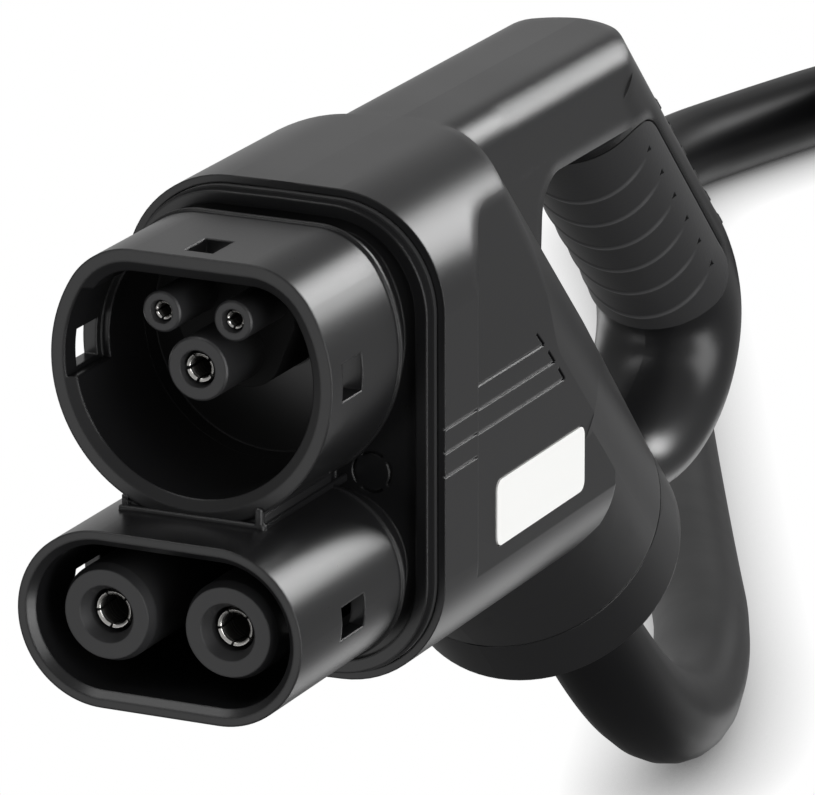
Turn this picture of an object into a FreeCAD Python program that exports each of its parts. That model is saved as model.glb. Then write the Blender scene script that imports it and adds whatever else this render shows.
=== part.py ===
import FreeCAD, Part
import math
import os
from FreeCAD import Placement, Rotation, Vector

# DC fast-charging connector with D-shaped handle and its cable, in millimetres.
# X points to the right flank, Y from the mating face towards the rear, Z up.
# The origin is on the axis of the earth socket, in the plane of the upper rim.
# The back of the body, the grip and the cable outlet follow one slant, 45 degrees
# below the horizontal. On it, t runs down the slant and s square to it, upwards.

# Upper shroud, round with a flat top
upper_radius = 31.2
upper_top_z = 24.0
upper_top_corner = 16.0
upper_wall = 4.8
upper_chamfer = 2.2
upper_chamfer_depth = 1.2
upper_rim_y = 0.0

# Lower shroud, a stadium
lower_half_width = 31.55
lower_height = 37.0
lower_centre_z = -48.75
lower_wall = 3.3
lower_chamfer = 1.5
lower_rim_y = -15.2

# Flange behind the shrouds
bead_y = 31.5
bead_width = 0.8
bead_rise = 0.5
neck_inset = 3.2
plate_y = 40.0
plate_thickness = 5.0
ring_front_y = 38.7
ring_wall = 2.7
floor_y = 36.0
web_half_width = 15.6
web_front_y = 0.6
post_width = 1.3
post_height = 4.0
mark_diameter = 8.3
mark_line = 0.5
mark_x = 20.6
mark_z = -29.2

# Windows in the shroud walls
side_window_y = (4.8, 13.9)
side_window_z = (-3.4, 4.4)
top_window_y = (3.9, 13.5)
top_window_width = 6.4
lower_window_y = (3.2, 13.9)
lower_window_z = (-52.6, -45.6)
guide_z = (-4.3, 14.5)
guide_depth = 1.8
guide_past = 2.0

# Contacts
dc_spacing = 27.0
dc_bore = 8.0
dc_tube = 9.4
dc_sleeve = 20.4
dc_face = 18.6
dc_nose = 2.2
dc_mouth = 12.0
dc_face_y = -11.6
dc_recess = 3.2
earth_bore = 6.0
earth_tube = 7.2
earth_sleeve = 13.3
earth_mouth = 7.8
signal_bore = 3.0
signal_tube = 4.2
signal_sleeve = 8.5
signal_mouth = 4.9
small_nose = 0.4
signal_x = 7.9
signal_z = 10.9
small_face_y = 3.0
small_recess = 3.0
slot_width = 0.7
slot_length = 9.0
bore_depth = 32.0
socket_rear_y = 58.0
carrier_step_y = 20.0
carrier_margin = 1.2
carrier_rear_y = 50.0

# Housing body
hood_front_y = 42.2
hood_half_width = 36.0
ring_gap = 2.4
ring_half_width = hood_half_width - ring_gap
hood_top_z = 28.5
hood_bottom_z = -74.8
hood_top_corner = 24.0
hood_bottom_corner = 24.0
roof_rise = 0.4
keel_drop = 0.8
chamber_top_half = 25.0
shell_wall = 3.0
lip_wall = 1.7
end_wall = 4.0
body_end_y = 128.0
body_end_corner = 13.0
back_radius = 35.85
back_top_s = 89.6

# Step in the flank behind the hood
step_y = 58.0
step_top_z = 20.6
step_corner = 18.0
flank_step = 0.3
lean_start_z = -12.0
lean_radius = 80.0
lean_angle = 11.0

# Fine lines on the flank
line_width = 0.5
line_depth = 0.4
line_pitch = 5.05
front_line_z = -18.9
rear_line_z = -14.3
line_end_s = 54.4
slash_length = 4.3
slash_width = 0.7
slash_depth = 1.2

# Label plate on the right flank, left bare
label_length = 43.8
label_height = 14.2
label_corner = 2.2
label_thickness = 0.9
label_recess = 0.6
label_y = 89.2
label_z = -44.2

# Cable outlet
outlet_radius = 31.8
outlet_start_t = 108.0
outlet_seam_t = 165.0
outlet_end_t = 181.0

# D-shaped handle
handle_half_width = 16.6
handle_edge = 7.0
handle_under_z = 8.6
handle_root_y = 132.6
handle_root_corner = 9.0
grip_centre_s = 137.9
grip_half_width = 17.0
grip_half_depth = 15.7
arm_start_t = 190.8
arm_first_radius = 20.0
arm_second_radius = 36.0
arm_last_turn = 160.0
arm_half_depth = 12.0
arm_end_width = 14.0
arm_end_depth = 8.5

# Soft grip pad and the ribs on the back of the grip
pad_start_t = 122.5
pad_end_t = 190.0
pad_rear_s = 139.3
pad_corner = 9.0
pad_thickness = 2.6
pad_gap = 0.5
groove_count = 6
groove_pitch = 9.9
groove_first_t = 130.3
groove_start_s = 133.0
groove_width = 1.0
groove_depth = 0.6
groove_tilt = 36.0
dimple_size = 2.4
rib_first_t = 141.6
rib_rise = 0.7
rib_width = 3.4
rib_half_length = 11.0

# Fasteners
screw_front_y = 58.0
screw_front_drop = 10.0
screw_low_y = 84.0
screw_low_rise = 9.0
screw_neck_t = 128.0
screw_bar_y = 150.0
screw_bar_drop = 10.0
screw_grip_past = 8.0
screw_shank = 3.5
screw_length = 22.0
screw_head = 6.6
screw_head_height = 2.6
screw_seat = 8.5
screw_boss = 8.0
screw_drive = 3.0
clamp_screw_shank = 3.0
clamp_screw_head = 5.4
clamp_screw_head_height = 2.4
clamp_screw_drive = 2.5

# Seal between flange and housing
gasket_y = 41.0
gasket_depth = 3.0

# Cable and what is inside the outlet
cable_diameter = 23.0
cable_axis_s = 57.6
cable_start_t = 142.0
clamp_start_t = 148.0
clamp_length = 14.0
clamp_width = 44.0
clamp_height = 34.0
clamp_gap = 1.2
fit_gap = 0.2
grommet_wall = 3.0
grommet_lip = 3.0
grommet_flange = 3.0
dc_core = 8.4
earth_core_size = 6.0
signal_core = 3.2
core_places = [(5.0, -2.2), (-5.0, -2.2), (0.0, 5.6), (5.8, 5.4), (-5.8, 5.4)]

# Reach of the blocks that only cut or keep, well past the part
far = 400.0

# Route of the cable past the outlet, then the coil of the rest
floor_z = -164.5
cable_route = [
    (0, 141.14, -59.68),
    (0, 172, -90.54),
    (3, 211, -135),
    (-1, 252, -153),
    (-19, 306, -153),
    (-47, 361, -153),
    (-101, 462, -153),
    (-176, 599, -153),
    (-205, 722, -153),
    (-169.4, 802.5, -153),
]
coil_centre = (-23.0, 805.0)
coil_mean_radius = 125.0
coil_turn_rows = 2
coil_columns = 2
tail_route = [
    (-160, 850, -130),
    (-162, 903, -135),
    (-165, 957, -150),
    (-169, 1010, -153),
]
end_core_length = 70.0
end_ferrule_length = 14.0


def corner_arc(before, corner, after, radius):
    """Tangent points and middle of the arc that rounds a corner."""
    one = (before - corner).normalize()
    two = (after - corner).normalize()
    half = one.getAngle(two) / 2
    reach = radius / math.tan(half)
    centre = corner + (one + two).normalize() * (radius / math.sin(half))
    middle = centre + (corner - centre).normalize() * radius
    return corner + one * reach, middle, corner + two * reach


def outline(corners, place):
    """Closed wire through (u, v, radius) corners; place turns u, v into a point."""
    points = [place(u, v) for u, v, r in corners]
    count = len(points)
    ends = []
    for i in range(count):
        radius = corners[i][2]
        if radius > 0:
            ends.append(corner_arc(points[i - 1], points[i], points[(i + 1) % count], radius))
        else:
            ends.append((points[i], None, points[i]))
    edges = []
    for i in range(count):
        start, middle, finish = ends[i]
        if middle is not None:
            edges.append(Part.Arc(start, middle, finish).toShape())
        following = ends[(i + 1) % count][0]
        if finish.distanceToPoint(following) > 1e-6:
            edges.append(Part.makeLine(finish, following))
    return Part.Wire(edges)


def front_prism(corners, y_from, y_to):
    """Outline seen from the front, extruded along Y."""
    wire = outline(corners, lambda u, v: Vector(u, y_from, v))
    return Part.Face(wire).extrude(Vector(0, y_to - y_from, 0))


def side_prism(corners, x_from, x_to):
    """Outline seen from the side, extruded along X."""
    wire = outline(corners, lambda u, v: Vector(x_from, u, v))
    return Part.Face(wire).extrude(Vector(x_to - x_from, 0, 0))


def slanted(shape):
    """Turns a shape built with Y as t and Z as s into its place on the slant."""
    turned = shape.copy()
    turned.rotate(Vector(0, 0, 0), Vector(1, 0, 0), -45)
    return turned


def slant_point(x, s, t):
    """Point at height s and distance t on the slant."""
    root = math.sqrt(2)
    return Vector(x, (s + t) / root, (s - t) / root)


def rod(diameter, x, z, y_from, y_to):
    """Round bar along Y."""
    return Part.makeCylinder(diameter / 2, y_to - y_from, Vector(x, y_from, z), Vector(0, 1, 0))


def block(x_range, y_range, z_range):
    """Box between two limits on each axis."""
    size = [high - low for low, high in (x_range, y_range, z_range)]
    return Part.makeBox(*size, Vector(x_range[0], y_range[0], z_range[0]))


def mirrored(shape):
    """The same shape on the other side of the parting plane."""
    return shape.mirror(Vector(0, 0, 0), Vector(1, 0, 0))


def joined(shapes):
    """One clean solid out of several."""
    return shapes[0].multiFuse(shapes[1:]).removeSplitter()


def upper_outline(inset, y):
    """Circle with a flat top and rounded corners between them, drawn smaller by the inset."""
    radius = upper_radius - inset
    top = upper_top_z - inset
    corner = upper_top_corner - inset
    up = top - corner
    out = math.sqrt((radius - corner) ** 2 - up ** 2)
    heading = math.atan2(up, out)
    half = (heading + math.pi / 2) / 2

    def place(side, reach, angle):
        return Vector(side * (out + reach * math.cos(angle)), y, up + reach * math.sin(angle))

    right = [place(1, corner, angle) for angle in (heading, half, math.pi / 2)]
    left = [place(-1, corner, angle) for angle in (math.pi / 2, half, heading)]
    return Part.Wire([
        Part.Arc(left[2], Vector(0, y, -radius), right[0]).toShape(),
        Part.Arc(*right).toShape(),
        Part.makeLine(right[2], left[0]),
        Part.Arc(*left).toShape(),
    ])


def upper_prism(inset, y_from, y_to):
    return Part.Face(upper_outline(inset, y_from)).extrude(Vector(0, y_to - y_from, 0))


def lower_corners(inset):
    half = lower_height / 2 - inset
    width = lower_half_width - inset
    radius = half - 0.01
    low = lower_centre_z - half
    high = lower_centre_z + half
    return [(width, low, radius), (width, high, radius), (-width, high, radius), (-width, low, radius)]


def lower_prism(inset, y_from, y_to):
    return front_prism(lower_corners(inset), y_from, y_to)


def upper_funnel():
    """Inner chamfer of the upper rim, as the solid to remove."""
    outer = upper_outline(upper_wall - upper_chamfer, upper_rim_y - 0.01)
    inner = upper_outline(upper_wall, upper_rim_y + upper_chamfer_depth)
    return Part.makeLoft([outer, inner], True, True)


def lower_funnel():
    """Inner chamfer of the lower rim, as the solid to remove."""
    outer = outline(lower_corners(lower_wall - lower_chamfer), lambda u, v: Vector(u, lower_rim_y - 0.01, v))
    inner = outline(lower_corners(lower_wall), lambda u, v: Vector(u, lower_rim_y + lower_chamfer, v))
    return Part.makeLoft([outer, inner], True, True)


def hood_corners(inset):
    """Front view of the housing, drawn smaller by the inset."""
    half = hood_half_width - inset
    top = hood_top_z - inset
    low = hood_bottom_z + inset
    upper = hood_top_corner - inset
    lower = hood_bottom_corner - inset
    return [
        (half, low, lower),
        (half, top, upper),
        (0, top + roof_rise, 0),
        (-half, top, upper),
        (-half, low, lower),
        (0, low - keel_drop, 0),
    ]


def flange_corners(width):
    """Same front view as the housing, scaled to a half width."""
    return hood_corners(hood_half_width - width)


def web_solid(y_to):
    """Plate between the shrouds, with a thin upright post at each side of its front."""
    low = lower_centre_z + lower_height / 2 - 1.0
    high = -math.sqrt((upper_radius - 1) ** 2 - web_half_width ** 2)
    plate = block((-web_half_width, web_half_width), (web_front_y, y_to), (low, high))
    posts = []
    for side in (-1, 1):
        x = side * (web_half_width - post_width / 2)
        posts.append(block((x - post_width / 2, x + post_width / 2),
                           (web_front_y - 0.8, web_front_y + 2), (low, low + post_height)))
    return joined([plate] + posts)


def shroud_windows():
    """Latch windows through the shroud walls and the guide down the left wall."""
    reach = upper_radius + 2
    cuts = [block((-reach, reach), side_window_y, side_window_z)]
    cuts.append(block((-top_window_width / 2, top_window_width / 2), top_window_y,
                      (upper_top_z - upper_wall - 1, upper_top_z + 2)))
    cuts.append(block((-reach, reach), lower_window_y, lower_window_z))
    guide = upper_prism(upper_wall - guide_depth, upper_rim_y - 1, side_window_y[1] + guide_past)
    cuts.append(guide.common(block((-far, 0), (-far, far), guide_z)))
    return cuts


def knock_out_mark():
    """Broken ring on the flange plate, four short grooves."""
    y = plate_y - 0.01
    outer = rod(mark_diameter + mark_line, mark_x, mark_z, y, y + 0.4)
    inner = rod(mark_diameter - mark_line, mark_x, mark_z, y - 1, y + 1)
    ring = outer.cut(inner)
    bar = mark_diameter
    bridges = []
    for angle in (45, 135):
        bridge = block((mark_x - bar, mark_x + bar), (y - 1, y + 1), (mark_z - 0.8, mark_z + 0.8))
        bridge.rotate(Vector(mark_x, y, mark_z), Vector(0, 1, 0), angle)
        bridges.append(bridge)
    return ring.cut(joined(bridges))


def mating_frame():
    """Both shrouds, the web between them and the flange, as one moulding."""
    upper = upper_prism(0, upper_rim_y, bead_y)
    lower = lower_prism(0, lower_rim_y, bead_y)
    web = web_solid(bead_y)
    beads = [upper_prism(-bead_rise, bead_y - bead_width, bead_y),
             lower_prism(-bead_rise, bead_y - bead_width, bead_y)]
    necks = [upper_prism(neck_inset, bead_y - 1, plate_y + 1),
             lower_prism(neck_inset, bead_y - 1, plate_y + 1),
             block((-web_half_width + neck_inset, web_half_width - neck_inset),
                   (bead_y - 1, plate_y + 1),
                   (lower_centre_z + lower_height / 2 - neck_inset - 1, upper_wall - upper_radius))]
    plate = front_prism(flange_corners(ring_half_width), plate_y, plate_y + plate_thickness)
    rim = front_prism(flange_corners(ring_half_width), ring_front_y, plate_y + 0.5)
    rim = rim.cut(front_prism(flange_corners(ring_half_width - ring_wall), ring_front_y - 1, plate_y + 1))
    body = joined([upper, lower, web] + beads + necks + [plate, rim])
    hollow = [upper_prism(upper_wall, upper_rim_y - 1, floor_y), upper_funnel(),
              lower_prism(lower_wall, lower_rim_y - 1, floor_y), lower_funnel()]
    hollow += shroud_windows()
    hollow.append(knock_out_mark())
    # Seats of the two contact carriers, right through the floor
    hollow.append(front_prism(carrier_corners(carrier_margin), floor_y - 1, plate_y + plate_thickness + 1))
    for side in (-1, 1):
        hollow.append(rod(dc_sleeve, side * dc_spacing / 2, lower_centre_z,
                          floor_y - 1, plate_y + plate_thickness + 1))
    for piece in hollow:
        body = body.cut(piece)
    return body.removeSplitter()


def mating_frame_parts():
    """The moulding parted at the shroud roots: upper shroud, lower shroud, flange with its web."""
    frame = mating_frame()
    lower_zone = lower_prism(-bead_rise, lower_rim_y - 1, bead_y)
    upper_zone = upper_prism(-bead_rise, upper_rim_y - 1, bead_y).cut(lower_zone)
    return frame.common(upper_zone), frame.common(lower_zone), frame.cut(upper_zone).cut(lower_zone)


def carrier_corners(margin):
    """Rounded triangle round the three small sleeves, seen from the front."""
    half = signal_x + signal_sleeve / 2 + margin
    top = signal_z + signal_sleeve / 2 + margin
    low = -earth_sleeve / 2 - margin
    shoulder = signal_sleeve / 2 + margin - 0.2
    foot = earth_sleeve / 2 + margin - 0.2
    return [(foot + 0.3, low, foot), (half, signal_z - shoulder, 1.5), (half, top, shoulder),
            (-half, top, shoulder), (-half, signal_z - shoulder, 1.5), (-foot - 0.3, low, foot)]


def sleeve(outer, face, nose, tube, mouth, x, z, y_face, y_rear, recess):
    """Insulating sleeve with a tapered nose and a countersunk mouth round a socket."""
    axis = Vector(0, 1, 0)
    body = rod(outer, x, z, y_face + nose, y_rear)
    body = body.fuse(Part.makeCone(face / 2, outer / 2, nose, Vector(x, y_face, z), axis))
    hole = rod(tube, x, z, y_face - 1, y_rear + 1)
    sink = Part.makeCone(mouth / 2, tube / 2, recess * 0.8, Vector(x, y_face, z), axis)
    return body.cut(hole).cut(sink)


def make_signal_carrier():
    """Insulator of the earth and the two signal sockets."""
    sleeves = [sleeve(earth_sleeve, earth_sleeve - 2 * small_nose, small_nose, earth_tube, earth_mouth,
                      0, 0, small_face_y, carrier_step_y, small_recess)]
    for side in (-1, 1):
        sleeves.append(sleeve(signal_sleeve, signal_sleeve - 2 * small_nose, small_nose, signal_tube,
                              signal_mouth, side * signal_x, signal_z, small_face_y, carrier_step_y,
                              small_recess))
    base = front_prism(carrier_corners(carrier_margin), carrier_step_y - 0.5, carrier_rear_y)
    foot = front_prism(carrier_corners(carrier_margin + 2), seat_y(), carrier_rear_y)
    body = base.multiFuse(sleeves + [foot])
    for bore, x, z in small_sockets():
        body = body.cut(rod(bore, x, z, small_face_y + 2, carrier_rear_y + 1))
    return body.removeSplitter()


def small_sockets():
    """Outer diameter and place of the earth and signal sockets."""
    return [(earth_tube, 0, 0), (signal_tube, -signal_x, signal_z), (signal_tube, signal_x, signal_z)]


def make_dc_sleeve(side):
    """Insulator of one power socket, with a foot behind the flange plate."""
    x = side * dc_spacing / 2
    body = sleeve(dc_sleeve, dc_face, dc_nose, dc_tube, dc_mouth, x, lower_centre_z,
                  dc_face_y, carrier_rear_y, dc_recess)
    foot = rod(dc_sleeve + 4, x, lower_centre_z, seat_y(), carrier_rear_y)
    foot = foot.cut(rod(dc_tube, x, lower_centre_z, seat_y() - 1, carrier_rear_y + 1))
    return joined([body, foot])


def make_socket(bore, tube, x, z, y_front, y_rear, slots):
    """Turned socket contact with a slotted mouth and a crimp barrel behind."""
    axis = Vector(0, 1, 0)
    body = rod(tube, x, z, y_front, y_rear)
    body = body.cut(rod(bore, x, z, y_front - 1, y_front + bore_depth))
    lead = Part.makeCone(bore / 2 + 0.5, bore / 2, 0.8, Vector(x, y_front, z), axis)
    body = body.cut(lead)
    for i in range(slots):
        cut = block((x, x + tube), (y_front - 1, y_front + slot_length),
                    (z - slot_width / 2, z + slot_width / 2))
        cut.rotate(Vector(x, 0, z), axis, 360.0 * i / slots + 20)
        body = body.cut(cut)
    return body


def slant_rod(radius, s, t_from, t_to):
    """Round bar down the slant."""
    return slanted(Part.makeCylinder(radius, t_to - t_from, Vector(0, t_from, s), Vector(0, 1, 0)))


def outlet_taper(inset):
    """Round neck between the back of the body and the outlet, with a straight upper line."""
    wires = []
    for t, radius in ((outlet_start_t, back_radius), (outlet_seam_t, outlet_radius)):
        circle = Part.makeCircle(radius - inset, Vector(0, t, back_top_s - radius), Vector(0, 1, 0))
        wires.append(Part.Wire(circle))
    return slanted(Part.makeLoft(wires, True, True))


def seat_y():
    """Shoulder in the mouth of the housing on which the flange plate sits."""
    return plate_y + plate_thickness


def flank_relief():
    """What is taken off the right flank behind the hood: the flank leans in towards the top."""
    behind = side_prism([(step_y, hood_bottom_z - 20, 0), (step_y, step_top_z, step_corner),
                         (260, step_top_z, 0), (260, hood_bottom_z - 20, 0)], 5, 60)
    foot = hood_half_width - flank_step
    rise = 80
    lean = rise * math.tan(math.radians(lean_angle))
    kept = front_prism([(0, hood_bottom_z - 30, 0), (foot, hood_bottom_z - 30, 0),
                        (foot, lean_start_z, lean_radius), (foot - lean, lean_start_z + rise, 0),
                        (0, lean_start_z + rise, 0)], 0, 300)
    return behind.cut(kept)


def flank_lines():
    """Fine parallel lines on the right flank and the short slashes at their ends."""
    cuts = []
    face = hood_half_width
    for i in range(3):
        z = front_line_z - i * line_pitch
        cuts.append(block((face - line_depth, face + 2), (hood_front_y - 1, step_y - 0.4),
                          (z - line_width / 2, z + line_width / 2)))
        z = rear_line_z - i * line_pitch
        y_end = line_end_s * math.sqrt(2) - z
        cuts.append(block((face - flank_step - line_depth, face + 2), (step_y - 0.1, y_end),
                          (z - line_width / 2, z + line_width / 2)))
        slash = block((face - flank_step - slash_depth, face + 2), (-slash_length, 0.3),
                      (-slash_width / 2, slash_width / 2))
        slash = slanted(slash)
        slash.translate(Vector(0, y_end, z))
        cuts.append(slash)
    return cuts


def body_solid():
    """Hood and body: front view, side view and round back brought together."""
    hood = front_prism(hood_corners(0), hood_front_y, 220)
    centre = back_top_s - back_radius
    tangent_z = centre * math.sqrt(2) - body_end_y
    front_z = centre * math.sqrt(2) - hood_front_y
    lower = side_prism([
        (hood_front_y, hood_bottom_z - 3, 0), (body_end_y, hood_bottom_z - 3, body_end_corner),
        (body_end_y, tangent_z, 0), (hood_front_y, front_z, 0)], -60, 60)
    back = slant_rod(back_radius, centre, -60, outlet_start_t)
    body = hood.common(lower.fuse(back))
    relief = flank_relief()
    return body.cut(relief).cut(mirrored(relief))


def outlet_solid():
    """Round neck that runs down the slant to the cable outlet."""
    centre = back_top_s - outlet_radius
    return outlet_taper(0).fuse(slant_rod(outlet_radius, centre, outlet_seam_t, outlet_end_t))


def ellipse_prism(half_width, half_depth, t_from, t_to):
    """Oval bar of the grip along the slant."""
    face = Part.Face(oval(half_width, half_depth, t_from, grip_centre_s, 0))
    return slanted(face.extrude(Vector(0, t_to - t_from, 0)))


def arm_station(turn):
    """Axis point (t, s) and heading of the arm after a turn in degrees from the grip."""
    first = min(turn, 90.0)
    second = max(turn - 90.0, 0.0)
    one = math.radians(first)
    two = math.radians(second)
    t = arm_start_t + arm_first_radius * math.sin(one) - arm_second_radius * (1 - math.cos(two))
    s = grip_centre_s - arm_first_radius * (1 - math.cos(one)) - arm_second_radius * math.sin(two)
    return t, s, math.radians(turn)


def oval(half_width, half_depth, t, s, heading):
    """Elliptical section square to the heading, as a wire on the upright slant plane."""
    centre = Vector(0, t, s)
    across = Vector(0, math.sin(heading), math.cos(heading))
    ellipse = Part.Ellipse(centre + Vector(half_width, 0, 0), centre + across * half_depth, centre)
    return Part.Wire(ellipse.toShape())


def arm_solid():
    """Lower arm: the oval of the grip turns back to the cable outlet and gets slimmer."""
    sections = [oval(grip_half_width, grip_half_depth, arm_start_t - 10, grip_centre_s, 0),
                oval(grip_half_width, grip_half_depth, arm_start_t - 3, grip_centre_s, 0)]
    for turn in (45, 90, 125, arm_last_turn):
        t, s, heading = arm_station(turn)
        share = min(turn / 90.0, 1.0)
        late = max((turn - 90.0) / (arm_last_turn - 90.0), 0.0)
        width = grip_half_width - 0.5 * share - (grip_half_width - 0.5 - arm_end_width) * late
        depth = grip_half_depth - (grip_half_depth - arm_half_depth) * share
        depth -= (arm_half_depth - arm_end_depth) * late
        sections.append(oval(width, depth, t, s, heading))
    t, s, heading = arm_station(arm_last_turn)
    sections.append(oval(arm_end_width, arm_end_depth, t + 8 * math.cos(heading),
                         s - 8 * math.sin(heading), heading))
    return slanted(Part.makeLoft(sections, True, False))


def handle_solid():
    """Top bar, oval grip and lower arm of the D."""
    top_side = side_prism([
        (60, -25, 0), (handle_root_y - 2, -25, 0), (handle_root_y, handle_under_z, handle_root_corner),
        (240, handle_under_z, 0), (240, 60, 0), (60, 60, 0)], -60, 60)
    half = handle_half_width
    bar = front_prism([(half, -30, 0), (half, hood_top_z, handle_edge), (0, hood_top_z + roof_rise, 0),
                       (-half, hood_top_z, handle_edge), (-half, -30, 0)], 60, 240)
    bar = bar.common(top_side)
    behind = slanted(block((-far, far), (-far, far), (-far, grip_centre_s)))
    limit = behind.fuse(ellipse_prism(grip_half_width, grip_half_depth, -far, far))
    bar = bar.common(limit)
    grip = ellipse_prism(grip_half_width, grip_half_depth, 112, arm_start_t - 10)
    under_top = block((-far, far), (0, far), (-far, hood_top_z - handle_edge))
    return joined([bar, grip.common(under_top), arm_solid()])


def pad_space(grow):
    """Side view of the pad, with rounded rear corners, grown by the gap round it."""
    return slanted(side_prism([
        (pad_start_t - grow, 90, 0), (pad_end_t + grow, 90, 0),
        (pad_end_t + grow, pad_rear_s + grow, pad_corner + grow),
        (pad_start_t - grow, pad_rear_s + grow, pad_corner + grow)], -60, 60))


def pad_core(inset):
    """Oval bar under the pad."""
    return ellipse_prism(grip_half_width - inset, grip_half_depth - inset, 100, 210)


def groove_cutters():
    """Crescent grooves across the front of the pad and the dimples they start from."""
    ring = pad_core(-2).cut(pad_core(groove_depth))
    cuts = []
    for i in range(groove_count):
        t = groove_first_t + i * groove_pitch
        blade = block((-far, far), (-groove_width / 2, groove_width / 2), (-2 * grip_half_depth, -1.5))
        blade.rotate(Vector(0, 0, 0), Vector(1, 0, 0), groove_tilt)
        blade.translate(Vector(0, t, groove_start_s))
        cuts.append(slanted(blade).common(ring))
        for side in (-1, 1):
            dimple = side_prism([(t - dimple_size * 0.7, groove_start_s + dimple_size / 2, 0),
                                 (t + dimple_size * 0.4, groove_start_s + dimple_size / 2, 0),
                                 (t + dimple_size * 0.4, groove_start_s - dimple_size / 2, 0)], 0, far)
            dimple = slanted(dimple)
            cuts.append((dimple if side > 0 else mirrored(dimple)).common(ring))
    return cuts


def make_grip_pad():
    """Soft pad that wraps the front of the grip."""
    pad = pad_core(0).cut(pad_core(pad_thickness)).common(pad_space(0))
    for cutter in groove_cutters():
        pad = pad.cut(cutter)
    return pad


def rib_bars():
    """Low round ribs across the back of the grip, seen from behind."""
    bars = []
    for i in range(groove_count):
        t = rib_first_t + i * groove_pitch
        ring = ellipse_prism(grip_half_width + rib_rise, grip_half_depth + rib_rise,
                             t - rib_width / 2, t + rib_width / 2)
        rear = slanted(block((-rib_half_length, rib_half_length), (0, far),
                             (grip_centre_s + grip_half_depth / 2, far)))
        bars.append(ring.common(rear))
    return bars


def housing_outside():
    """Outside of the whole housing before it is hollowed and split."""
    outside = joined([body_solid(), outlet_solid(), handle_solid()] + rib_bars())
    recess = pad_core(-3).cut(pad_core(pad_thickness)).common(pad_space(pad_gap))
    outside = outside.cut(recess)
    for line in flank_lines():
        outside = outside.cut(line)
    outside = outside.cut(label_solid(label_thickness, 0.15))
    return outside.cut(seam_ring())


def seam_ring():
    """Fine groove round the neck of the outlet."""
    centre = back_top_s - outlet_radius
    outer = slant_rod(outlet_radius + 2, centre, outlet_seam_t, outlet_seam_t + line_width)
    inner = slant_rod(outlet_radius - line_depth, centre, outlet_seam_t - 1, outlet_seam_t + 2)
    keep = slanted(block((-far, far), (0, far), (back_top_s - shell_wall, far)))
    return outer.cut(inner).cut(keep)


def hollows():
    """Spaces inside the housing: mouth, chamber, cable neck and the channels of the handle."""
    wall = shell_wall
    centre = back_top_s - back_radius
    half = hood_half_width - wall - flank_step
    mouth = front_prism(hood_corners(lip_wall), hood_front_y - 1, seat_y())
    low = hood_bottom_z + wall
    chamber = front_prism([(half, low, 21), (half, lean_start_z - 4, 60), (chamber_top_half, 16, 0),
                           (chamber_top_half, hood_top_z - wall, 12), (-chamber_top_half, hood_top_z - wall, 12),
                           (-chamber_top_half, 16, 0), (-half, lean_start_z - 4, 60), (-half, low, 21)],
                          seat_y() - 0.5, 220)
    tangent_z = centre * math.sqrt(2)
    end = body_end_y - wall
    side = side_prism([(0, -120, 0), (end, -120, 10), (end, tangent_z - end, 0), (0, tangent_z, 0)], -60, 60)
    back = slant_rod(back_radius - wall, centre, -60, outlet_start_t)
    chamber = chamber.common(side.fuse(back))
    taper = outlet_taper(wall)
    neck = slant_rod(outlet_radius - wall, back_top_s - outlet_radius, outlet_seam_t,
                     outlet_end_t - end_wall)
    hole = slant_rod(cable_diameter / 2 + grommet_wall, cable_axis_s, outlet_end_t - end_wall - 1,
                     outlet_end_t + 30)
    return [mouth, chamber, taper, neck, hole]


def channels():
    """Hollows of the top bar and the grip."""
    wall = shell_wall
    bar = block((-handle_half_width + wall, handle_half_width - wall), (116, 178),
                (handle_under_z + wall, hood_top_z - wall))
    inset = pad_thickness + 2.4
    grip = ellipse_prism(grip_half_width - inset, grip_half_depth - inset, pad_start_t + 2, arm_start_t)
    return [bar, grip]


def screw_places():
    """Side view of the screws through the left shell: (Y, Z) of each axis."""
    grip_low = slant_point(0, grip_centre_s - screw_boss / 2, arm_start_t + screw_grip_past)
    neck = slant_point(0, back_top_s - shell_wall - screw_boss / 2 - 0.6, screw_neck_t)
    return [(screw_front_y, hood_top_z - screw_front_drop), (screw_low_y, hood_bottom_z + screw_low_rise),
            (neck.y, neck.z), (screw_bar_y, hood_top_z - screw_bar_drop), (grip_low.y, grip_low.z)]


def screw_bosses():
    """Round bosses that stay across the hollows at each screw."""
    return [Part.makeCylinder(screw_boss / 2 + 1.2, 80, Vector(-40, y, z), Vector(1, 0, 0))
            for y, z in screw_places()]


def screw_holes():
    """Deep recess and clearance hole in the left shell, blind hole in the right one."""
    holes = []
    for y, z in screw_places():
        holes.append(Part.makeCylinder(screw_head / 2 + 0.4, 40, Vector(-40 - screw_seat, y, z), Vector(1, 0, 0)))
        holes.append(Part.makeCylinder(screw_shank / 2, screw_length, Vector(-screw_seat - 0.01, y, z),
                                       Vector(1, 0, 0)))
    return holes


def make_screw(shank, length, head, head_height, drive):
    """Pan-head screw along X with a hexagonal recess, its head seat at the origin."""
    body = Part.makeCylinder(shank / 2, length, Vector(0, 0, 0), Vector(1, 0, 0))
    top = Part.makeCylinder(head / 2, head_height, Vector(-head_height, 0, 0), Vector(1, 0, 0))
    points = [Vector(-head_height, drive / math.sqrt(3) * math.cos(math.radians(60 * k)),
                     drive / math.sqrt(3) * math.sin(math.radians(60 * k))) for k in range(6)]
    recess = Part.Face(Part.makePolygon(points + [points[0]])).extrude(Vector(head_height * 0.6, 0, 0))
    return body.fuse(top).removeSplitter().cut(recess)


def housing_screws():
    screws = []
    for y, z in screw_places():
        screw = make_screw(screw_shank, screw_length - 1, screw_head, screw_head_height, screw_drive)
        screw.translate(Vector(-screw_seat, y, z))
        screws.append(screw)
    return screws


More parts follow.
